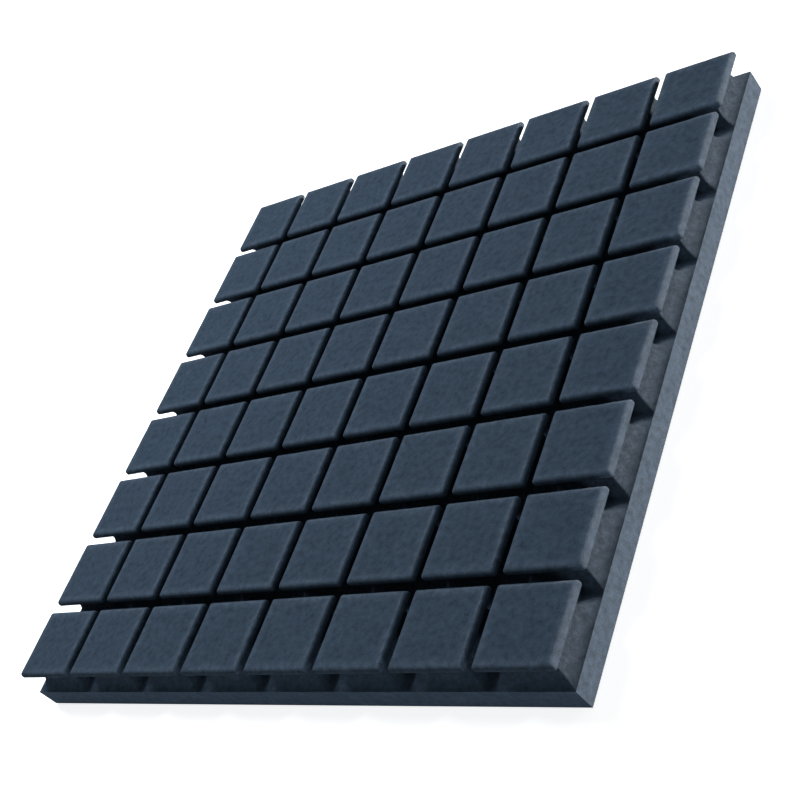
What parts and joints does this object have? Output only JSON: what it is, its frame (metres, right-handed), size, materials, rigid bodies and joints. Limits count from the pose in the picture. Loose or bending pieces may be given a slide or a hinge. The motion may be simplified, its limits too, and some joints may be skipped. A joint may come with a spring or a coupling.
{
  "type": "acoustic foam panel",
  "caption": "Square acoustic foam wall panel with a flat back and a grid of flat-topped square blocks parted by deep undercut grooves.",
  "frame": {"origin": "centre of the flat back face", "axes": "+Z out of the block faces, square to the back face; the rows of blocks run along X; the panel lies on its back"},
  "size_m": [0.595, 0.595, 0.05],
  "materials": {
    "foam": "open-cell polyurethane foam, matt, dark blue-grey"
  },
  "bodies": {
    "root": {"base_slab": "foam", "block_row_1": "foam", "block_row_2": "foam", "block_row_3": "foam", "block_row_4": "foam", "block_row_5": "foam", "block_row_6": "foam", "block_row_7": "foam", "block_row_8": "foam"}
  },
  "joints": []
}
